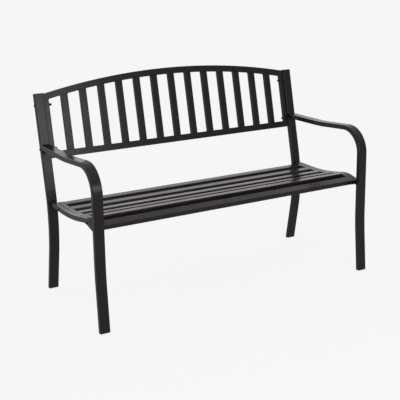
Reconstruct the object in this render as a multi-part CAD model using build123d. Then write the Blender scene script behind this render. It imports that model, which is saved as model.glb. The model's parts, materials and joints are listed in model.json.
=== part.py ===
from build123d import *
from math import cos, radians, sin, sqrt, tan
import os

# A two-seat slatted steel garden bench. Lengths are millimetres, angles degrees.
# X runs along the bench, +Y points to its back and +Z up.
# Stations of the side frames are (y, z) pairs on the tube's centreline.

# Side frames: flat tube, wide across the bench
BENCH_LENGTH = 1270.0  # over the outer faces of the two side frames
FRAME_TUBE_WIDTH = 40.0
FRAME_TUBE_DEPTH = 20.0
FRAME_TUBE_CORNER = 3.0
TUBE_WALL = 1.0

# Front leg, which bends over at the top into the armrest
FRONT_FOOT_Y = -291.8
FRONT_KNEE_Y = -274.5
FRONT_KNEE_Z = 221.0
FRONT_KNEE_RADIUS = 1200.0
ARM_CORNER_RADIUS = 100.0
ARM_BREAK_Y = 0.0
ARM_LEVEL_Z = 606.3
ARM_FALL = 4.43  # fall of the armrest's front part towards the back
ARM_BREAK_RADIUS = 900.0

# Rear leg, which leans forward to the knee and reclines above it as the back post
REAR_FOOT_Y = 236.6
REAR_KNEE_Y = 177.7
REAR_KNEE_Z = 296.0
REAR_KNEE_RADIUS = 680.0
BACK_RECLINE = 12.09
POST_LENGTH = 532.0  # from the knee to the tube's top end

# Plastic foot plugs and post caps
FOOT_FLANGE = 4.0
FOOT_STEM = 26.0
CAP_FLANGE = 3.0
CAP_STEM = 16.0
CAP_EDGE = 1.2
PLUG_WALL = 2.0
PLUG_GAP = 0.2  # between a plug's stem and the tube round it

# Back panel: flat tube frame with upright slats, set between the posts
PANEL_TUBE_DEPTH = 15.0
PANEL_TUBE_CORNER = 1.5
PANEL_RAIL_WIDTH = 27.5
BACK_SLAT_WIDTH = 30.0
PANEL_END_WIDTH = 21.0
PANEL_SETBACK = 4.0  # from the posts' centreline back to the panel's
PANEL_RAIL_BOTTOM = 266.4  # from the knee up the post
ARCH_TOP = 594.3  # highest edge of the arched rail, from the knee up the post
ARCH_RISE = 62.2  # from the rail's ends up to the highest edge
BACK_SLAT_COUNT = 13
BACK_BOLT_HEIGHTS = (307.8, 486.3)  # from the knee up the post
BACK_BOLT_SETBACK = 2.0  # from the posts' centreline back to the bolts'

# Seat: square side rails, bolted in pairs, with six cross slats between them
SEAT_TUBE = 20.0
SEAT_TUBE_CORNER = 2.5
SEAT_RAIL_INSET = 10.0  # from the side frame's outer face to the support rail
SEAT_HOLLOW_Y = -13.4
SEAT_HOLLOW_Z = 386.7
SEAT_HOLLOW_RADIUS = 935.0
SEAT_REAR_SLOPE = 1.3
SEAT_RISE = 10.3
SEAT_CREST_Y = -174.4
SEAT_CREST_RADIUS = 120.0
SEAT_FRONT_SLOPE = 13.3
SEAT_FRONT_Y = -249.0
SEAT_REAR_Y = 158.0
SEAT_SLAT_WIDTH = 40.0
SEAT_SLAT_DEPTH = 20.0
SEAT_SLAT_CORNER = 3.75
SEAT_SLAT_PITCH = 74.65
REAR_SLAT_INSET = 0.6
REAR_SLAT_COUNT = 5
STRAP_WIDTH = 30.0
STRAP_DEPTH = 5.0
STRAP_REAR_Y = 152.0
STRAP_FRONT_Y = -237.0
RAIL_PLUG_FLANGE = 1.5
RAIL_PLUG_STEM = 14.0
RAIL_PLUG_EDGE = 0.5

# Fasteners
BOLT_RADIUS = 3.0
BOLT_HOLE_RADIUS = 3.3
BOLT_END = 6.5  # length of bolt inside the cap nut
BOLT_TIP = 0.6
HEAD_RADIUS = 5.25
HEAD_HEIGHT = 3.3
HEAD_RIM = 0.8
SOCKET_FLATS = 4.0
SOCKET_DEPTH = 2.0
WASHER_RADIUS = 6.0
WASHER_THICKNESS = 1.2
NUT_FLATS = 10.0
NUT_HEIGHT = 5.5
NUT_DOME_RADIUS = 4.75
NUT_BORE_DEPTH = 7.5
THREAD_GAP = 0.1

# Small gap between the bolted assemblies, and under the seat strap
FIT_GAP = 0.3

frame_outer = BENCH_LENGTH / 2
frame_centre = frame_outer - FRAME_TUBE_WIDTH / 2
frame_inner = frame_outer - FRAME_TUBE_WIDTH
panel_half = frame_inner - FIT_GAP
support_outer = frame_outer - SEAT_RAIL_INSET
support_inner = support_outer - SEAT_TUBE
end_rail_outer = support_inner - FIT_GAP
end_rail_inner = end_rail_outer - SEAT_TUBE

frame_section = (FRAME_TUBE_WIDTH, FRAME_TUBE_DEPTH, FRAME_TUBE_CORNER)
rail_section = (SEAT_TUBE, SEAT_TUBE, SEAT_TUBE_CORNER)
seat_slat_section = (SEAT_SLAT_WIDTH, SEAT_SLAT_DEPTH, SEAT_SLAT_CORNER)
panel_rail_section = (PANEL_TUBE_DEPTH, PANEL_RAIL_WIDTH, PANEL_TUBE_CORNER)
back_slat_section = (PANEL_TUBE_DEPTH, BACK_SLAT_WIDTH, PANEL_TUBE_CORNER)
panel_end_section = (PANEL_TUBE_DEPTH, PANEL_END_WIDTH, PANEL_TUBE_CORNER)


def narrowed(section, inset):
    """The same rounded rectangle, drawn in by the inset on every side."""
    width, depth, corner = section
    return (width - 2 * inset, depth - 2 * inset, max(corner - inset, 0))


def outline(section):
    """The rectangle of a tube's section, with rounded corners if it has any."""
    width, depth, corner = section
    if corner > 0:
        return RectangleRounded(width, depth, corner)
    return Rectangle(width, depth)


def across(path, share):
    """Place square to a flat path at a share of its length, its x axis off the page."""
    return Plane(origin=path @ share, x_dir=(0, 0, 1), z_dir=path % share).location


def bar(path, section, drop=0.0):
    """Solid bar along a flat path, set below it by the drop when the path runs rearwards."""
    return sweep(across(path, 0) * Pos(0, drop) * outline(section), path=path)


def tube(path, section, drop=0.0):
    """Hollow tube along a flat path, open at both ends."""
    return bar(path, section, drop) - bar(path, narrowed(section, TUBE_WALL), drop)


def straight_bar(section, length):
    """Solid bar standing on the plane's origin."""
    return extrude(outline(section), amount=length)


def straight_tube(section, length):
    """Hollow tube standing on the plane's origin, open at both ends."""
    return straight_bar(section, length) - straight_bar(narrowed(section, TUBE_WALL), length)


def between(shape, low, high):
    """The part of an upright shape between two heights."""
    above = split(shape, bisect_by=Plane.XY.offset(low), keep=Keep.TOP)
    return split(above, bisect_by=Plane.XY.offset(high), keep=Keep.BOTTOM)


def flipped(shape):
    """The same piece on the other side of the bench."""
    return mirror(shape, about=Plane.YZ)


def hexagon(flats):
    """Regular hexagon of the given width across its flats."""
    return RegularPolygon(flats / 2, 6, major_radius=False)


# Centrelines of the side frame, drawn in the side view
front_lean = (FRONT_KNEE_Y - FRONT_FOOT_Y) / FRONT_KNEE_Z
rear_lean = (REAR_FOOT_Y - REAR_KNEE_Y) / REAR_KNEE_Z
arm_corner_z = ARM_LEVEL_Z + (ARM_BREAK_Y - FRONT_KNEE_Y) * tan(radians(ARM_FALL))
post_y_at_arm = REAR_KNEE_Y + (ARM_LEVEL_Z - REAR_KNEE_Z) * tan(radians(BACK_RECLINE))
post_top_y = REAR_KNEE_Y + POST_LENGTH * sin(radians(BACK_RECLINE))
post_top_z = REAR_KNEE_Z + POST_LENGTH * cos(radians(BACK_RECLINE))

# The legs are drawn on below the floor and cut there
arm_leg_line = FilletPolyline(
    (FRONT_FOOT_Y - front_lean * FRAME_TUBE_DEPTH, -FRAME_TUBE_DEPTH),
    (FRONT_KNEE_Y, FRONT_KNEE_Z),
    (FRONT_KNEE_Y, arm_corner_z),
    (ARM_BREAK_Y, ARM_LEVEL_Z),
    (post_y_at_arm, ARM_LEVEL_Z),
    radius=(FRONT_KNEE_RADIUS, ARM_CORNER_RADIUS, ARM_BREAK_RADIUS),
)
post_line = FilletPolyline(
    (REAR_FOOT_Y + rear_lean * FRAME_TUBE_DEPTH, -FRAME_TUBE_DEPTH),
    (REAR_KNEE_Y, REAR_KNEE_Z),
    (post_top_y, post_top_z),
    radius=(REAR_KNEE_RADIUS,),
)


def seat_line(rear_y, front_y):
    """The seat's surface in the side view, from its rear to its front station."""
    rise = tan(radians(SEAT_RISE))
    crest_z = SEAT_HOLLOW_Z + (SEAT_HOLLOW_Y - SEAT_CREST_Y) * rise
    rear_z = SEAT_HOLLOW_Z + (rear_y - SEAT_HOLLOW_Y) * tan(radians(SEAT_REAR_SLOPE))
    front_z = crest_z - (SEAT_CREST_Y - front_y) * tan(radians(SEAT_FRONT_SLOPE))
    return FilletPolyline(
        (front_y, front_z),
        (SEAT_CREST_Y, crest_z),
        (SEAT_HOLLOW_Y, SEAT_HOLLOW_Z),
        (rear_y, rear_z),
        radius=(SEAT_CREST_RADIUS, SEAT_HOLLOW_RADIUS),
    )


def side_view(x):
    """Place of a side view: its page stands along Y and Z at a station along the bench."""
    return Plane.YZ.offset(x).location


# Side frame of the right-hand end
right_frame = side_view(frame_centre)
arm_leg_bar = right_frame * bar(arm_leg_line, frame_section)
post_bar = right_frame * bar(post_line, frame_section)
arm_leg = right_frame * tube(arm_leg_line, frame_section) - post_bar
arm_leg = split(arm_leg, bisect_by=Plane.XY.offset(FOOT_FLANGE), keep=Keep.TOP)
rear_post = right_frame * tube(post_line, frame_section)
rear_post = split(rear_post, bisect_by=Plane.XY.offset(FOOT_FLANGE), keep=Keep.TOP)

stem_section = narrowed(frame_section, TUBE_WALL + PLUG_GAP)
stem_hollow = narrowed(stem_section, PLUG_WALL)


def foot_plug(line, leg_bar):
    """Flat foot under a leg's tube, with a hollow stem pushed up inside it."""
    flange = between(leg_bar, 0, FOOT_FLANGE)
    stem = right_frame * (bar(line, stem_section) - bar(line, stem_hollow))
    return flange + between(stem, FOOT_FLANGE, FOOT_FLANGE + FOOT_STEM)


def end_cap(section, flange, stem, edge):
    """Cap on the plane's origin: a flange above it and a hollow stem below."""
    plug = narrowed(section, TUBE_WALL + PLUG_GAP)
    plate = extrude(outline(section), amount=flange)
    plate = fillet(plate.faces().sort_by(Axis.Z)[-1].edges(), edge)
    stem_wall = outline(plug) - outline(narrowed(plug, PLUG_WALL))
    return plate + extrude(stem_wall, amount=-stem)


front_foot = foot_plug(arm_leg_line, arm_leg_bar)
rear_foot = foot_plug(post_line, post_bar)
post_cap = end_cap(frame_section, CAP_FLANGE, CAP_STEM, CAP_EDGE)
post_cap = right_frame * across(post_line, 1) * post_cap

# Support rail welded between the front leg and the post, under the armrest
support_line = seat_line(REAR_KNEE_Y + FRAME_TUBE_DEPTH, FRONT_KNEE_Y)
support_view = side_view(support_outer - SEAT_TUBE / 2)
support_rail = support_view * tube(support_line, rail_section, SEAT_TUBE / 2)
support_rail = support_rail - post_bar - arm_leg_bar

# Seat panel: an end rail at each side, closed by plugs, and the slats between them
end_rail_line = seat_line(SEAT_REAR_Y - RAIL_PLUG_FLANGE, SEAT_FRONT_Y + RAIL_PLUG_FLANGE)
end_rail_view = side_view(end_rail_outer - SEAT_TUBE / 2)
end_rail = end_rail_view * tube(end_rail_line, rail_section, SEAT_TUBE / 2)
rail_plug = end_cap(rail_section, RAIL_PLUG_FLANGE, RAIL_PLUG_STEM, RAIL_PLUG_EDGE)
rear_end = across(end_rail_line, 1) * Pos(0, SEAT_TUBE / 2)
front_end = across(end_rail_line, 0) * Pos(0, SEAT_TUBE / 2) * Rot(180, 0, 0)
rail_plug_rear = end_rail_view * rear_end * rail_plug
rail_plug_front = end_rail_view * front_end * rail_plug


def seat_slat(distance):
    """Cross slat set flush with the rails' tops at a distance from their front end."""
    spot = across(end_rail_line, distance / end_rail_line.length)
    start = spot * Pos(0, SEAT_SLAT_DEPTH / 2) * Rot(0, -90, 0)
    return side_view(end_rail_inner) * start * straight_tube(seat_slat_section, 2 * end_rail_inner)


rear_slat_distance = end_rail_line.length - REAR_SLAT_INSET - SEAT_SLAT_WIDTH / 2
slat_distances = [
    rear_slat_distance - number * SEAT_SLAT_PITCH for number in range(REAR_SLAT_COUNT)
]
slat_distances.append(SEAT_SLAT_WIDTH / 2 - RAIL_PLUG_FLANGE)

# Flat strap under the middle of the slats
strap_line = seat_line(STRAP_REAR_Y, STRAP_FRONT_Y)
strap_shape = across(strap_line, 0) * Pos(0, SEAT_SLAT_DEPTH + FIT_GAP + STRAP_DEPTH / 2)
strap_shape = strap_shape * Rectangle(STRAP_WIDTH, STRAP_DEPTH)
seat_strap = side_view(0) * sweep(strap_shape, path=strap_line)

# Back panel, drawn on a plane that leans with the posts: x along the bench, y up the post
recline = radians(BACK_RECLINE)
post_plane = Plane(
    origin=(0, REAR_KNEE_Y, REAR_KNEE_Z),
    x_dir=(1, 0, 0),
    z_dir=(0, -cos(recline), sin(recline)),
)
panel = post_plane.offset(-PANEL_SETBACK)
arch_radius = (panel_half**2 + ARCH_RISE**2) / (2 * ARCH_RISE)
arch_line_radius = arch_radius - PANEL_RAIL_WIDTH / 2
arch_under_radius = arch_radius - PANEL_RAIL_WIDTH


def arch_height(x):
    """Height of the arched rail's centreline at x, from the knee up the post."""
    return ARCH_TOP - arch_radius + sqrt(arch_line_radius**2 - x**2)


# The arched rail is swept past the posts and cut flat beside them
arch_reach = panel_half + PANEL_RAIL_WIDTH
arch_line = ThreePointArc(
    (-arch_reach, arch_height(arch_reach)),
    (0, arch_height(0)),
    (arch_reach, arch_height(arch_reach)),
)
top_rail = tube(arch_line, panel_rail_section)
top_rail = split(top_rail, bisect_by=Plane.YZ.offset(panel_half), keep=Keep.BOTTOM)
top_rail = split(top_rail, bisect_by=Plane.YZ.offset(-panel_half), keep=Keep.TOP)

under_arch = Pos(0, ARCH_TOP - arch_radius) * Cylinder(arch_under_radius, 2 * PANEL_TUBE_DEPTH)

rail_middle = PANEL_RAIL_BOTTOM + PANEL_RAIL_WIDTH / 2
rail_start = Plane(origin=(-panel_half, rail_middle, 0), x_dir=(0, 0, 1), z_dir=(1, 0, 0))
bottom_rail = rail_start.location * straight_tube(panel_rail_section, 2 * panel_half)


def panel_upright(x, section):
    """Upright tube of the back, from the bottom rail to the arch's underside."""
    foot = PANEL_RAIL_BOTTOM + PANEL_RAIL_WIDTH
    start = Plane(origin=(x, foot, 0), x_dir=(0, 0, 1), z_dir=(0, 1, 0))
    return start.location * straight_tube(section, arch_height(x) - foot) & under_arch


end_tube = panel_upright(panel_half - PANEL_END_WIDTH / 2, panel_end_section)

# The slats leave equal spaces between the end tubes
clear_width = 2 * (panel_half - PANEL_END_WIDTH)
slat_space = (clear_width - BACK_SLAT_COUNT * BACK_SLAT_WIDTH) / (BACK_SLAT_COUNT + 1)
slat_pitch = slat_space + BACK_SLAT_WIDTH
first_slat_x = -slat_pitch * (BACK_SLAT_COUNT - 1) / 2
back_slats = [
    panel.location * panel_upright(first_slat_x + number * slat_pitch, back_slat_section)
    for number in range(BACK_SLAT_COUNT)
]


# Fasteners, drawn with the bolt's axis up and the face under its head at the origin
def button_bolt(grip):
    """Button-head socket bolt, long enough for the grip, a washer and the nut."""
    head = Cylinder(HEAD_RADIUS, HEAD_HEIGHT, align=(Align.CENTER, Align.CENTER, Align.MIN))
    head = fillet(head.edges().sort_by(Axis.Z)[-1], HEAD_HEIGHT - HEAD_RIM)
    socket = extrude(hexagon(SOCKET_FLATS), amount=SOCKET_DEPTH)
    length = grip + WASHER_THICKNESS + BOLT_END
    shank = Cylinder(BOLT_RADIUS, length, align=(Align.CENTER, Align.CENTER, Align.MAX))
    shank = chamfer(shank.edges().sort_by(Axis.Z)[0], BOLT_TIP)
    return head - Pos(0, 0, HEAD_HEIGHT - SOCKET_DEPTH) * socket + shank


def washer():
    """Plain washer lying on the origin."""
    return extrude(Circle(WASHER_RADIUS) - Circle(BOLT_HOLE_RADIUS), amount=WASHER_THICKNESS)


def cap_nut():
    """Hexagonal nut closed by a dome, standing on the origin."""
    nut = extrude(hexagon(NUT_FLATS), amount=NUT_HEIGHT)
    nut = nut + Pos(0, 0, NUT_HEIGHT) * Sphere(NUT_DOME_RADIUS)
    bore = extrude(Circle(BOLT_RADIUS + THREAD_GAP), amount=NUT_BORE_DEPTH)
    return nut - bore


def bolt_place(x, line_point):
    """Place on a bolt's line, with its axis pointing out of the right-hand end."""
    origin = (x, line_point.Y, line_point.Z)
    return Plane(origin=origin, x_dir=(0, 1, 0), z_dir=(1, 0, 0)).location


def bolt_holes(places, grip):
    """Holes through everything that a row of bolts clamps."""
    return [place * extrude(Circle(BOLT_HOLE_RADIUS), amount=-grip) for place in places]


def both_ends(shapes):
    """The shapes of the right-hand end and their mirror images, as one group."""
    return Compound(list(shapes) + [flipped(shape) for shape in shapes])


bolt_plane = post_plane.offset(-BACK_BOLT_SETBACK)
back_points = [bolt_plane.from_local_coords(Vector(0, height, 0)) for height in BACK_BOLT_HEIGHTS]
back_places = [bolt_place(frame_outer, point) for point in back_points]
back_grip = frame_outer - panel_half + PANEL_END_WIDTH

# The seat's bolts pass midway between the first two and the last two slats
seat_spots = []
for first, second in ((0, 1), (-2, -1)):
    distance = (slat_distances[first] + slat_distances[second]) / 2
    spot = across(end_rail_line, distance / end_rail_line.length)
    seat_spots.append((side_view(0) * spot * Pos(0, SEAT_TUBE / 2)).position)
seat_places = [bolt_place(support_outer, point) for point in seat_spots]
seat_grip = support_outer - end_rail_inner

back_drill = bolt_holes(back_places, back_grip)
seat_drill = bolt_holes(seat_places, seat_grip)

bolts_and_grips = [(place, back_grip) for place in back_places]
bolts_and_grips += [(place, seat_grip) for place in seat_places]
washers = []
cap_nuts = []
for place, grip in bolts_and_grips:
    washers.append(place * Pos(0, 0, -grip) * Rot(180, 0, 0) * washer())
    cap_nuts.append(place * Pos(0, 0, -grip - WASHER_THICKNESS) * Rot(180, 0, 0) * cap_nut())

# Every node by name: pieces of both ends, then the single ones
paired = {
    "arm_leg": arm_leg,
    "rear_post": rear_post - back_drill,
    "seat_support_rail": support_rail - seat_drill,
    "front_foot": front_foot,
    "rear_foot": rear_foot,
    "post_cap": post_cap,
    "back_end_tube": panel.location * end_tube - back_drill,
    "seat_end_rail": end_rail - seat_drill,
}
nodes = {
    "back_top_rail": panel.location * top_rail,
    "back_bottom_rail": panel.location * bottom_rail,
    "seat_centre_strap": seat_strap,
    "seat_rail_plugs": both_ends([rail_plug_rear, rail_plug_front]),
    "back_bolts": both_ends([place * button_bolt(back_grip) for place in back_places]),
    "seat_bolts": both_ends([place * button_bolt(seat_grip) for place in seat_places]),
    "washers": both_ends(washers),
    "cap_nuts": both_ends(cap_nuts),
}
for name, shape in paired.items():
    nodes[name + "_right"] = shape
    nodes[name + "_left"] = flipped(shape)
for number, shape in enumerate(back_slats, start=1):
    nodes[f"back_slat_{number:02d}"] = shape
for number, distance in enumerate(slat_distances, start=1):
    nodes[f"seat_slat_{number}"] = seat_slat(distance)

# The origin is set on the floor, under the middle of the bench's bounding box
boxes = [shape.bounding_box() for shape in nodes.values()]
front = min(box.min.Y for box in boxes)
back = max(box.max.Y for box in boxes)
to_origin = Pos(0, -(front + back) / 2, 0)

os.makedirs("parts", exist_ok=True)
for name, shape in nodes.items():
    export_step(to_origin * shape, f"parts/{name}.step")
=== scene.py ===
import json
import math
from itertools import product

import bpy
import numpy as np
from bpy.props import FloatProperty, FloatVectorProperty, IntProperty, PointerProperty
from mathutils import Matrix, Vector


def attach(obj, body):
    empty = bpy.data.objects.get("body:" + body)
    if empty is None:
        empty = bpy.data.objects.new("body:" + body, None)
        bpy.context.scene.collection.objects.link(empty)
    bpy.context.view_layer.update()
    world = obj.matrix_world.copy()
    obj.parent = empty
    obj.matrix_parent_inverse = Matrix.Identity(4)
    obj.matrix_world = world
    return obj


bl_info = {
    "name": "Slatted Garden Bench Looks",
    "version": (1, 0, 0),
    "blender": (4, 5, 0),
    "location": "View3D > Sidebar > Bench",
    "description": "Finishes, weld beads and studio for a slatted steel bench",
    "category": "Object",
}

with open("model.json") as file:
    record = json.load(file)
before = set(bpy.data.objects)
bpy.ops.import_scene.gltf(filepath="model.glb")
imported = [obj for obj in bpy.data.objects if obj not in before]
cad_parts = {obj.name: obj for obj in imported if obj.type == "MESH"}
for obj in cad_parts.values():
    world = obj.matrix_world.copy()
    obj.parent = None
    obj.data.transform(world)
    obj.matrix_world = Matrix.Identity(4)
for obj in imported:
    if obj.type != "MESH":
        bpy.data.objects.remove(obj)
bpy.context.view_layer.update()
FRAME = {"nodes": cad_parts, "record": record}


class BenchCoatSettings(bpy.types.PropertyGroup):
    """Powder coat on every steel tube"""

    color: FloatVectorProperty(
        name="Colour",
        description="Base colour of the powder coat",
        subtype="COLOR",
        size=3,
        min=0.0,
        max=1.0,
        default=(0.0156, 0.0104, 0.0120),
    )
    tones: FloatVectorProperty(
        name="Tones",
        description="Darkest and lightest tone of the coat, as shares of its colour",
        size=2,
        min=0.0,
        default=(0.9, 1.12),
    )
    roughness: FloatProperty(
        name="Roughness",
        description="Middle value of the coat's roughness",
        subtype="FACTOR",
        min=0.0,
        max=1.0,
        default=0.25,
    )
    roughness_spread: FloatProperty(
        name="Roughness spread",
        description="How far smudges move the roughness to either side",
        subtype="FACTOR",
        min=0.0,
        max=0.5,
        default=0.04,
    )
    peel_size: FloatProperty(
        name="Orange peel size",
        description="Distance between the bumps of the sprayed surface",
        subtype="DISTANCE",
        unit="LENGTH",
        min=0.0002,
        default=0.0016,
    )
    peel_height: FloatProperty(
        name="Orange peel height",
        description="Height of the bumps of the sprayed surface",
        subtype="DISTANCE",
        unit="LENGTH",
        min=0.0,
        default=0.00002,
    )
    dust: FloatProperty(
        name="Dust",
        description="Share of fine pale dust on the faces that look up",
        subtype="FACTOR",
        min=0.0,
        max=1.0,
        default=0.012,
    )
    dust_color: FloatVectorProperty(
        name="Dust colour",
        description="Colour of the dust",
        subtype="COLOR",
        size=3,
        min=0.0,
        max=1.0,
        default=(0.45, 0.43, 0.40),
    )


class BenchWeldSettings(bpy.types.PropertyGroup):
    """Weld beads under the coat"""

    size: FloatProperty(
        name="Bead size",
        description="Reach of a bead from the corner it fills",
        subtype="DISTANCE",
        unit="LENGTH",
        min=0.0005,
        default=0.0022,
    )
    hollow: FloatProperty(
        name="Hollow",
        description="How far a bead's section is drawn in at its middle, as a share of its reach",
        subtype="FACTOR",
        min=0.0,
        max=0.5,
        default=0.26,
    )
    ripple_pitch: FloatProperty(
        name="Ripple pitch",
        description="Distance between the ripples along a bead",
        subtype="DISTANCE",
        unit="LENGTH",
        min=0.0005,
        default=0.0017,
    )
    ripple_depth: FloatProperty(
        name="Ripple depth",
        description="Depth of the ripples, as a share of the bead's size",
        subtype="FACTOR",
        min=0.0,
        max=0.5,
        default=0.12,
    )
    wander: FloatProperty(
        name="Wander",
        description="Slow change of the reach along a bead, as a share of the bead's size",
        subtype="FACTOR",
        min=0.0,
        max=0.5,
        default=0.08,
    )
    recline: FloatProperty(
        name="Recline",
        description="Lean of the back and its posts",
        subtype="ANGLE",
        default=math.radians(12.09),
    )
    section_points: IntProperty(
        name="Section points",
        description="Points on the bulging side of a bead's section",
        min=4,
        default=7,
    )
    ripple_points: IntProperty(
        name="Ripple points",
        description="Sections in each ripple",
        min=2,
        default=4,
    )


class BenchPlasticSettings(bpy.types.PropertyGroup):
    """Moulded feet, caps and plugs"""

    color: FloatVectorProperty(
        name="Colour",
        description="Base colour of the moulded plastic",
        subtype="COLOR",
        size=3,
        min=0.0,
        max=1.0,
        default=(0.012, 0.012, 0.013),
    )
    tones: FloatVectorProperty(
        name="Tones",
        description="Darkest and lightest tone of the plastic, as shares of its colour",
        size=2,
        min=0.0,
        default=(0.85, 1.2),
    )
    roughness: FloatProperty(
        name="Roughness",
        description="Middle value of the plastic's roughness",
        subtype="FACTOR",
        min=0.0,
        max=1.0,
        default=0.52,
    )
    roughness_spread: FloatProperty(
        name="Roughness spread",
        description="How far the roughness of the plastic goes to either side",
        subtype="FACTOR",
        min=0.0,
        max=0.5,
        default=0.06,
    )
    grain_size: FloatProperty(
        name="Grain size",
        description="Distance between the grains of the moulded surface",
        subtype="DISTANCE",
        unit="LENGTH",
        min=0.0001,
        default=0.0007,
    )
    grain_height: FloatProperty(
        name="Grain height",
        description="Height of the grains of the moulded surface",
        subtype="DISTANCE",
        unit="LENGTH",
        min=0.0,
        default=0.000035,
    )


class BenchHardwareSettings(bpy.types.PropertyGroup):
    """Bolts, washers and cap nuts"""

    color: FloatVectorProperty(
        name="Colour",
        description="Colour of the blackened steel",
        subtype="COLOR",
        size=3,
        min=0.0,
        max=1.0,
        default=(0.055, 0.053, 0.055),
    )
    tones: FloatVectorProperty(
        name="Tones",
        description="Darkest and lightest tone of the blackened steel, as shares of its colour",
        size=2,
        min=0.0,
        default=(0.75, 1.3),
    )
    roughness: FloatProperty(
        name="Roughness",
        description="Middle value of the blackened steel's roughness",
        subtype="FACTOR",
        min=0.0,
        max=1.0,
        default=0.36,
    )
    roughness_spread: FloatProperty(
        name="Roughness spread",
        description="How far the roughness of the steel goes to either side",
        subtype="FACTOR",
        min=0.0,
        max=0.5,
        default=0.08,
    )
    grain_height: FloatProperty(
        name="Grain height",
        description="Height of the fine grain of the steel's surface",
        subtype="DISTANCE",
        unit="LENGTH",
        min=0.0,
        default=0.00001,
    )


class BenchStageSettings(bpy.types.PropertyGroup):
    """Floor, light and camera"""

    floor_size: FloatProperty(
        name="Floor size",
        description="Side of the square floor",
        subtype="DISTANCE",
        unit="LENGTH",
        min=1.0,
        default=160.0,
    )
    floor_color: FloatVectorProperty(
        name="Floor colour",
        description="Colour of the floor, which sets how deep its shadows are",
        subtype="COLOR",
        size=3,
        min=0.0,
        max=1.0,
        default=(0.1, 0.1, 0.1),
    )
    floor_tones: FloatVectorProperty(
        name="Floor tones",
        description="Darkest and lightest tone of the floor, as shares of its colour",
        size=2,
        min=0.0,
        default=(0.98, 1.02),
    )
    floor_glow: FloatProperty(
        name="Floor glow",
        description="Even brightness of the floor in the picture, beside what the light adds",
        min=0.0,
        default=0.87,
    )
    floor_bounce: FloatProperty(
        name="Floor bounce",
        description="Even brightness that the floor casts on the bench",
        min=0.0,
        default=0.3,
    )
    backdrop_glow: FloatProperty(
        name="Backdrop glow",
        description="Even brightness of the backdrop in the picture, above the floor's end",
        min=0.0,
        default=0.92,
    )
    surroundings_color: FloatVectorProperty(
        name="Surroundings colour",
        description="Tint of the surroundings",
        subtype="COLOR",
        size=3,
        min=0.0,
        max=1.0,
        default=(1.0, 0.97, 0.98),
    )
    front_light: FloatProperty(
        name="Front brightness",
        description="Brightness of the surroundings in front of the bench",
        min=0.0,
        default=0.31,
    )
    back_light: FloatProperty(
        name="Back brightness",
        description="Brightness of the surroundings behind the bench",
        min=0.0,
        default=1.0,
    )
    top_light: FloatProperty(
        name="Top brightness",
        description="Brightness of the surroundings above the bench",
        min=0.0,
        default=0.48,
    )
    softbox_light: FloatProperty(
        name="Softbox brightness",
        description="Brightness of the soft light in front of the bench",
        min=0.0,
        default=2.25,
    )
    softbox_color: FloatVectorProperty(
        name="Softbox colour",
        description="Tint of the soft light",
        subtype="COLOR",
        size=3,
        min=0.0,
        max=1.0,
        default=(0.89, 0.93, 1.0),
    )
    softbox_place: FloatVectorProperty(
        name="Softbox place",
        description="Middle of the soft light, which faces straight back",
        subtype="XYZ",
        unit="LENGTH",
        size=3,
        default=(-0.45, -2.4, 1.25),
    )
    softbox_size: FloatVectorProperty(
        name="Softbox size",
        description="Width and height of the soft light",
        subtype="XYZ",
        unit="LENGTH",
        size=2,
        default=(2.4, 1.0),
    )
    camera_place: FloatVectorProperty(
        name="Camera place",
        description="Position of the camera",
        subtype="XYZ",
        unit="LENGTH",
        size=3,
        default=(-1.785146, -3.046982, 1.375228),
    )
    camera_azimuth: FloatProperty(
        name="Azimuth",
        description="Turn of the camera about the bench, from the front towards the right",
        subtype="ANGLE",
        default=math.radians(-30.031),
    )
    camera_elevation: FloatProperty(
        name="Elevation",
        description="Angle at which the camera looks down",
        subtype="ANGLE",
        default=math.radians(13.615),
    )
    camera_roll: FloatProperty(
        name="Roll",
        description="Turn of the camera about its own axis",
        subtype="ANGLE",
        default=math.radians(-0.791),
    )
    lens: FloatProperty(
        name="Focal length",
        description="Focal length of the camera, in millimetres",
        min=1.0,
        default=77.657,
    )
    sensor_width: FloatProperty(
        name="Sensor width",
        description="Width of the camera's sensor, in millimetres",
        min=1.0,
        default=36.0,
    )
    shift_y: FloatProperty(
        name="Shift",
        description="Vertical shift of the camera's frame, as a share of its width",
        default=-0.1015,
    )
    view_distance: FloatProperty(
        name="View distance",
        description="How far the camera sees, past the corners of the floor",
        subtype="DISTANCE",
        unit="LENGTH",
        min=1.0,
        default=500.0,
    )


# Noise patterns: their cells in each metre, how fine they go on and how much the fine part counts
COAT_TONES = {"cells": 5.0, "detail": 3.0}
COAT_SMUDGES = {"cells": 14.0, "detail": 5.0, "roughness": 0.6}
DUST_PATCHES = {"cells": 38.0, "detail": 6.0, "roughness": 0.7}
PLASTIC_TONES = {"cells": 60.0, "detail": 3.0}
PLASTIC_SHEEN = {"cells": 120.0, "detail": 3.0}
STEEL_BLOTCHES = {"cells": 400.0, "detail": 4.0}
STEEL_SHEEN = {"cells": 700.0, "detail": 3.0}
STEEL_GRAIN = {"cells": 1800.0, "detail": 2.0}
FLOOR_TONES = {"cells": 0.7, "detail": 2.0}

NOISE_SPAN = (0.3, 0.7)  # nearly all values of a noise pattern lie in it
WHOLE_SPAN = (0.0, 1.0)
DUST_LEAST = 0.2  # share of the dust that is left between its patches
DUST_SLOPE = (0.5, 1.0)  # upward part of the normal, from where dust starts to where it is full

COAT_NAME = "powder coat"
COAT_IOR = 1.5
PLASTIC_IOR = 1.47
WHITE = (1.0, 1.0, 1.0)


def new_material(name):
    """A new node material, its tree and its surface shader."""
    material = bpy.data.materials.new(name)
    material.use_nodes = True
    tree = material.node_tree
    return material, tree, tree.nodes["Principled BSDF"]


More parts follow.
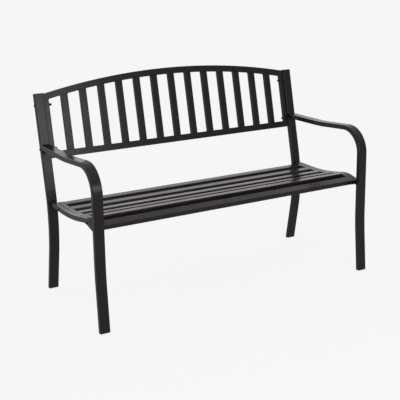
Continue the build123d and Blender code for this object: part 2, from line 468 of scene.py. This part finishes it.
def noise(tree, cells, detail, roughness=0.5):
    """A noise pattern in the object's own metres."""
    place = tree.nodes.new("ShaderNodeTexCoord")
    texture = tree.nodes.new("ShaderNodeTexNoise")
    texture.inputs["Scale"].default_value = cells
    texture.inputs["Detail"].default_value = detail
    texture.inputs["Roughness"].default_value = roughness
    tree.links.new(place.outputs["Object"], texture.inputs["Vector"])
    return texture.outputs["Fac"]


def spread(tree, value, low, high, span=NOISE_SPAN):
    """The value's span stretched over low to high."""
    node = tree.nodes.new("ShaderNodeMapRange")
    node.inputs["From Min"].default_value, node.inputs["From Max"].default_value = span
    node.inputs["To Min"].default_value = low
    node.inputs["To Max"].default_value = high
    tree.links.new(value, node.inputs["Value"])
    return node.outputs["Result"]


def axes(tree, vector):
    """The X, Y and Z outputs of a vector."""
    split = tree.nodes.new("ShaderNodeSeparateXYZ")
    tree.links.new(vector, split.inputs["Vector"])
    return split.outputs


def multiplied(tree, first, second):
    """Two outputs' values multiplied."""
    node = tree.nodes.new("ShaderNodeMath")
    node.operation = "MULTIPLY"
    tree.links.new(first, node.inputs[0])
    tree.links.new(second, node.inputs[1])
    return node.outputs["Value"]


def connect(tree, source, socket):
    """Gives a socket another node's output, a number or a colour."""
    if isinstance(source, bpy.types.NodeSocket):
        tree.links.new(source, socket)
    elif isinstance(source, float):
        socket.default_value = source
    else:
        socket.default_value = (*source, 1.0)


def mixed(tree, share, first, second, kind="Color"):
    """Two colours, or two values of kind Float, mixed by an output that gives the second's share."""
    node = tree.nodes.new("ShaderNodeMix")
    node.data_type = {"Color": "RGBA", "Float": "FLOAT"}[kind]
    sockets = {socket.identifier: socket for socket in (*node.inputs, *node.outputs)}
    connect(tree, share, sockets["Factor_Float"])
    connect(tree, first, sockets[f"A_{kind}"])
    connect(tree, second, sockets[f"B_{kind}"])
    return sockets[f"Result_{kind}"]


def toned(tree, color, tones, pattern):
    """The colour between its darkest and its lightest tone, as a noise pattern goes."""
    darkest, lightest = (Vector(color) * tone for tone in tones)
    return mixed(tree, spread(tree, noise(tree, **pattern), *WHOLE_SPAN), darkest, lightest)


def varied_roughness(tree, shader, settings, pattern):
    """Moves the roughness to either side of its middle value, as a noise pattern goes."""
    low = settings.roughness - settings.roughness_spread
    high = settings.roughness + settings.roughness_spread
    tree.links.new(spread(tree, noise(tree, **pattern), low, high), shader.inputs["Roughness"])


def bumps(tree, shader, height, distance):
    """Lets a height pattern tilt the surface's normal."""
    node = tree.nodes.new("ShaderNodeBump")
    node.inputs["Strength"].default_value = 1.0
    node.inputs["Distance"].default_value = distance
    tree.links.new(height, node.inputs["Height"])
    tree.links.new(node.outputs["Normal"], shader.inputs["Normal"])


def coat_material(settings):
    """Satin powder coat: orange peel, faint smudges and a trace of dust on upward faces."""
    material, tree, shader = new_material(COAT_NAME)
    coat = toned(tree, settings.color, settings.tones, COAT_TONES)
    normal = tree.nodes.new("ShaderNodeNewGeometry").outputs["Normal"]
    upward = spread(tree, axes(tree, normal)["Z"], 0.0, settings.dust, DUST_SLOPE)
    patches = spread(tree, noise(tree, **DUST_PATCHES), DUST_LEAST, 1.0)
    dusty = mixed(tree, multiplied(tree, upward, patches), coat, settings.dust_color)
    tree.links.new(dusty, shader.inputs["Base Color"])
    varied_roughness(tree, shader, settings, COAT_SMUDGES)
    shader.inputs["IOR"].default_value = COAT_IOR
    bumps(tree, shader, noise(tree, 1.0 / settings.peel_size, detail=2.0), settings.peel_height)
    return material


def plastic_material(settings):
    """Matt moulded plastic with a fine grain."""
    material, tree, shader = new_material("moulded plastic")
    color = toned(tree, settings.color, settings.tones, PLASTIC_TONES)
    tree.links.new(color, shader.inputs["Base Color"])
    varied_roughness(tree, shader, settings, PLASTIC_SHEEN)
    shader.inputs["IOR"].default_value = PLASTIC_IOR
    bumps(tree, shader, noise(tree, 1.0 / settings.grain_size, detail=1.0), settings.grain_height)
    return material


def hardware_material(settings):
    """Blackened steel with a faint blotched oxide."""
    material, tree, shader = new_material("blackened steel")
    color = toned(tree, settings.color, settings.tones, STEEL_BLOTCHES)
    tree.links.new(color, shader.inputs["Base Color"])
    shader.inputs["Metallic"].default_value = 1.0
    varied_roughness(tree, shader, settings, STEEL_SHEEN)
    bumps(tree, shader, noise(tree, **STEEL_GRAIN), settings.grain_height)
    return material


def dress(slot, material):
    """Gives the material to every frame node of one material slot."""
    for part in FRAME["record"]["subparts"]:
        if part["material_slot"] == slot:
            mesh = FRAME["nodes"][part["node"]].data
            mesh.materials.clear()
            mesh.materials.append(material)


class BENCH_OT_coat(bpy.types.Operator):
    """Covers the steel tubes with satin powder coat"""

    bl_idname = "bench.coat"
    bl_label = "Powder Coat"

    def execute(self, context):
        dress("bench_coat", coat_material(context.scene.bench_coat))
        return {"FINISHED"}


SIDEWAYS = np.array((1.0, 0.0, 0.0))
REARWARD = np.array((0.0, 1.0, 0.0))
UPWARD = np.array((0.0, 0.0, 1.0))
BOTH_WAYS = (-1.0, 1.0)
NEARNESS = 0.00003  # metres within which points count as one edge or one face
CORNER_PULL = 2.0  # weight of the first face's way against the second's in the search for a corner

BEAD_TIP = 0.002  # share of its size that a bead's ends count as further in, so that they keep a face
BEAD_ROOT = 0.15  # depth of the section's hidden point behind the corner, as a share of its reach
WANDER_TURN = 9.0  # radians of a bead's slow change of reach, from end to end
WANDER_STEP = 1.7  # radians by which that change starts later on the next bead


def node_names(start):
    """The names of the frame's nodes that start alike, in order."""
    return sorted(name for name in FRAME["nodes"] if name.startswith(start))


def node_points(name):
    """The corners of a frame node's mesh, in metres."""
    node = FRAME["nodes"][name]
    points = np.empty(len(node.data.vertices) * 3)
    node.data.vertices.foreach_get("co", points)
    turned = np.array(node.matrix_world)
    return points.reshape(-1, 3) @ turned[:3, :3].T + turned[:3, 3]


def end_directions(points):
    """The short and the long direction of a slat's right end.

    They are the principal axes of the end's points in the YZ plane.
    """
    face = points[points[:, 0] > points[:, 0].max() - NEARNESS][:, 1:]
    short, long = np.linalg.eigh(np.cov(face.T))[1].T
    return np.array((0.0, *short)), np.array((0.0, *long))


def corner_joint(points, along, first, second):
    """Both ends of a joint's corner, and the directions that its two faces take from there.

    The corner is the edge that lies farthest the first face's way and, with less weight,
    against the second's, so that tips shaped to a rounded tube beside it don't count.
    Its ends are its lowest and its highest point in the direction along it.
    """
    reach = points @ (CORNER_PULL * first - second)
    edge = points[reach > reach.max() - NEARNESS]
    places = edge @ along
    return edge[places.argmin()], edge[places.argmax()], first, second


def seat_joints():
    """Joints between the sides of the seat slats and the end rails' inner faces."""
    for name in node_names("seat_slat_"):
        points = node_points(name)
        down, across = end_directions(points)
        for end, side in product(BOTH_WAYS, BOTH_WAYS):
            yield corner_joint(points, down, side * across, -end * SIDEWAYS)


def back_joints(up):
    """Joints at the feet and tops of the back's uprights, on the sides with open spaces."""
    forward = np.cross(SIDEWAYS, up)
    uprights = [(name, BOTH_WAYS) for name in node_names("back_slat_")]
    uprights += [("back_end_tube_left", (1.0,)), ("back_end_tube_right", (-1.0,))]
    for name, sides in uprights:
        points = node_points(name)
        for end, side in product(BOTH_WAYS, sides):
            yield corner_joint(points, forward, side * SIDEWAYS, -end * up)


def frame_joints(up):
    """Joints of the armrests and the seat's support rails with the posts and legs."""
    for hand in ("left", "right"):
        arm = node_points(f"arm_leg_{hand}")
        rail = node_points(f"seat_support_rail_{hand}")
        for side in BOTH_WAYS:
            yield corner_joint(arm[arm[:, 1] > 0.0], SIDEWAYS, side * up, -REARWARD)
            yield corner_joint(rail, SIDEWAYS, side * up, -REARWARD)
            yield corner_joint(rail, SIDEWAYS, side * UPWARD, REARWARD)


def bead_surface(start, end, first, second, settings, number):
    """Rings of a rippled quarter-round bead, in the corner between two faces.

    A ring's bulging side is the corner plus its reach times the first face's direction
    turned towards the second's, drawn in by the hollow towards the middle of the turn.
    The reach falls to nothing at both ends like a half ellipse, swells by a cosine in
    each ripple and wanders by a slow sine. A last point sunk behind the corner closes
    the ring. The two faces are swapped where that makes the rings turn outwards.
    """
    if np.cross(first, second) @ (end - start) < 0.0:
        first, second = second, first
    length = np.linalg.norm(end - start)
    ripples = length / settings.ripple_pitch
    share = np.linspace(0.0, 1.0, int(ripples * settings.ripple_points) + 2)
    from_end = np.minimum(share, 1.0 - share) * length / settings.size
    taper = np.sqrt(1.0 - (1.0 - np.clip(from_end, BEAD_TIP, 1.0)) ** 2)
    wander = settings.wander * np.sin(share * WANDER_TURN + number * WANDER_STEP)
    dip = settings.ripple_depth * (0.5 - 0.5 * np.cos(math.tau * share * ripples))
    reach = settings.size * taper * (1.0 + wander - dip)
    turn = np.linspace(0.0, math.pi / 2, settings.section_points)
    bulge = 1.0 - settings.hollow * (1.0 - np.abs(np.cos(2.0 * turn)))
    arc = np.cos(turn)[:, None] * first + np.sin(turn)[:, None] * second
    section = np.vstack([arc * bulge[:, None], -BEAD_ROOT * (first + second)])
    line = start + share[:, None] * (end - start)
    return line[:, None, :] + reach[:, None, None] * section[None, :, :]


def grid_mesh(name, surfaces):
    """One mesh from several stacks of rings, each stack closed at both ends."""
    points, faces = [], []
    base = 0
    for rings in surfaces:
        rows, columns = rings.shape[:2]
        index = base + np.arange(rows * columns).reshape(rows, columns)
        beside = np.roll(index, -1, axis=1)
        quads = np.stack([index[:-1], beside[:-1], beside[1:], index[1:]], axis=-1)
        faces += quads.reshape(-1, 4).tolist()
        faces += [index[0, ::-1].tolist(), index[-1].tolist()]
        points.append(rings.reshape(-1, 3))
        base += rows * columns
    mesh = bpy.data.meshes.new(name)
    mesh.from_pydata(np.concatenate(points).tolist(), [], faces)
    mesh.polygons.foreach_set("use_smooth", [True] * len(mesh.polygons))
    mesh.update()
    return mesh


class BENCH_OT_welds(bpy.types.Operator):
    """Fills the corners between welded tubes with rippled beads"""

    bl_idname = "bench.welds"
    bl_label = "Weld Beads"

    def execute(self, context):
        settings = context.scene.bench_weld
        up = np.array((0.0, math.sin(settings.recline), math.cos(settings.recline)))
        joints = [*seat_joints(), *back_joints(up), *frame_joints(up)]
        surfaces = [bead_surface(*joint, settings, number) for number, joint in enumerate(joints)]
        beads = bpy.data.objects.new("weld_beads", grid_mesh("weld_beads", surfaces))
        context.scene.collection.objects.link(beads)
        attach(beads, "root")
        beads.data.materials.append(bpy.data.materials[COAT_NAME])
        return {"FINISHED"}


class BENCH_OT_plastic(bpy.types.Operator):
    """Gives the feet, caps and plugs their moulded plastic"""

    bl_idname = "bench.plastic"
    bl_label = "Plastic Ends"

    def execute(self, context):
        dress("black_plastic", plastic_material(context.scene.bench_plastic))
        return {"FINISHED"}


class BENCH_OT_hardware(bpy.types.Operator):
    """Gives the bolts, washers and nuts their blackened steel"""

    bl_idname = "bench.hardware"
    bl_label = "Hardware"

    def execute(self, context):
        dress("dark_hardware", hardware_material(context.scene.bench_hardware))
        return {"FINISHED"}


# Parts of a direction between which one brightness of the surroundings turns into the next
FRONT_TO_BACK = (-0.6, 0.5)
HORIZON_TO_TOP = (0.3, 0.7)

FLOOR_ROUGHNESS = 0.9


def camera_ray(tree):
    """An output that is 1 where the camera sees a surface, and 0 for light and reflections."""
    return tree.nodes.new("ShaderNodeLightPath").outputs["Is Camera Ray"]


def studio_floor(settings):
    """A plain square floor at the bench's feet."""
    half = settings.floor_size / 2
    corners = [(-half, -half, 0.0), (half, -half, 0.0), (half, half, 0.0), (-half, half, 0.0)]
    mesh = bpy.data.meshes.new("studio floor")
    mesh.from_pydata(corners, [], [(0, 1, 2, 3)])
    floor = bpy.data.objects.new("studio_floor", mesh)
    bpy.context.scene.collection.objects.link(floor)
    material, tree, shader = new_material("studio floor")
    color = toned(tree, settings.floor_color, settings.floor_tones, FLOOR_TONES)
    tree.links.new(color, shader.inputs["Base Color"])
    glow = spread(tree, camera_ray(tree), settings.floor_bounce, settings.floor_glow, WHOLE_SPAN)
    tree.links.new(glow, shader.inputs["Emission Strength"])
    shader.inputs["Emission Color"].default_value = (*WHITE, 1.0)
    shader.inputs["Roughness"].default_value = FLOOR_ROUGHNESS
    shader.inputs["Specular IOR Level"].default_value = 0.0
    mesh.materials.append(material)
    return floor


def studio_world(settings):
    """Soft surroundings, brighter behind the bench, and an even backdrop that only the camera sees."""
    world = bpy.data.worlds.new("studio")
    world.use_nodes = True
    tree = world.node_tree
    direction = axes(tree, tree.nodes.new("ShaderNodeTexCoord").outputs["Generated"])
    around = spread(tree, direction["Y"], settings.front_light, settings.back_light, FRONT_TO_BACK)
    height = spread(tree, direction["Z"], *WHOLE_SPAN, HORIZON_TO_TOP)
    surroundings = tree.nodes["Background"]
    surroundings.inputs["Color"].default_value = (*settings.surroundings_color, 1.0)
    light = mixed(tree, height, around, settings.top_light, kind="Float")
    tree.links.new(light, surroundings.inputs["Strength"])
    backdrop = tree.nodes.new("ShaderNodeBackground")
    backdrop.inputs["Color"].default_value = (*WHITE, 1.0)
    backdrop.inputs["Strength"].default_value = settings.backdrop_glow
    chosen = tree.nodes.new("ShaderNodeMixShader")
    tree.links.new(camera_ray(tree), chosen.inputs["Fac"])
    tree.links.new(surroundings.outputs["Background"], chosen.inputs[1])
    tree.links.new(backdrop.outputs["Background"], chosen.inputs[2])
    tree.links.new(chosen.outputs["Shader"], tree.nodes["World Output"].inputs["Surface"])
    bpy.context.scene.world = world


def softbox(settings):
    """A soft oval light that faces straight back, and that the camera doesn't see.

    Its power is its brightness times its width and height and the square of half of pi.
    """
    light = bpy.data.lights.new("softbox", "AREA")
    light.shape = "ELLIPSE"
    light.color = settings.softbox_color
    light.size, light.size_y = settings.softbox_size
    light.energy = settings.softbox_light * (math.pi / 2) ** 2 * light.size * light.size_y
    lamp = bpy.data.objects.new("softbox", light)
    backwards = Matrix.Rotation(math.pi / 2, 4, "X")
    lamp.matrix_world = Matrix.Translation(settings.softbox_place) @ backwards
    lamp.visible_camera = False
    bpy.context.scene.collection.objects.link(lamp)


def studio_camera(settings):
    """The camera at the photographed angle."""
    turn, tilt = settings.camera_azimuth, settings.camera_elevation
    back = Vector((math.sin(turn) * math.cos(tilt), -math.cos(turn) * math.cos(tilt), math.sin(tilt)))
    right = (-back).cross(Vector((0.0, 0.0, 1.0))).normalized()
    up = right.cross(-back)
    facing = Matrix((right, up, back)).transposed() @ Matrix.Rotation(settings.camera_roll, 3, "Z")
    data = bpy.data.cameras.new("camera")
    data.sensor_width = settings.sensor_width
    data.lens = settings.lens
    data.shift_y = settings.shift_y
    data.clip_end = settings.view_distance
    camera = bpy.data.objects.new("camera", data)
    camera.matrix_world = Matrix.Translation(settings.camera_place) @ facing.to_4x4()
    bpy.context.scene.collection.objects.link(camera)
    bpy.context.scene.camera = camera


class BENCH_OT_stage(bpy.types.Operator):
    """Sets the floor, the light and the camera"""

    bl_idname = "bench.stage"
    bl_label = "Studio"

    def execute(self, context):
        settings = context.scene.bench_stage
        floor = studio_floor(settings)
        studio_world(settings)
        softbox(settings)
        studio_camera(settings)
        context.scene.view_settings.view_transform = "Standard"
        return {"FINISHED"}


# Each scene's settings and the operator that uses them, in the order of the work
STEPS = {
    "bench_coat": (BenchCoatSettings, BENCH_OT_coat),
    "bench_weld": (BenchWeldSettings, BENCH_OT_welds),
    "bench_plastic": (BenchPlasticSettings, BENCH_OT_plastic),
    "bench_hardware": (BenchHardwareSettings, BENCH_OT_hardware),
    "bench_stage": (BenchStageSettings, BENCH_OT_stage),
}


class BENCH_PT_panel(bpy.types.Panel):
    """The bench's settings and steps"""

    bl_idname = "BENCH_PT_panel"
    bl_label = "Garden Bench"
    bl_space_type = "VIEW_3D"
    bl_region_type = "UI"
    bl_category = "Bench"

    def draw(self, context):
        for name, (group, operator) in STEPS.items():
            box = self.layout.box()
            for field in group.__annotations__:
                box.prop(getattr(context.scene, name), field)
            box.operator(operator.bl_idname)


def register():
    """Registers the classes and gives every scene its settings."""
    for name, (group, operator) in STEPS.items():
        bpy.utils.register_class(group)
        bpy.utils.register_class(operator)
        setattr(bpy.types.Scene, name, PointerProperty(type=group))
    bpy.utils.register_class(BENCH_PT_panel)


def unregister():
    """Takes back what register gave."""
    bpy.utils.unregister_class(BENCH_PT_panel)
    for name, (group, operator) in STEPS.items():
        delattr(bpy.types.Scene, name)
        bpy.utils.unregister_class(operator)
        bpy.utils.unregister_class(group)


def main():
    """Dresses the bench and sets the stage."""
    register()
    bpy.ops.bench.coat()
    bpy.ops.bench.welds()
    bpy.ops.bench.plastic()
    bpy.ops.bench.hardware()
    bpy.ops.bench.stage()


if __name__ == "__main__":
    main()
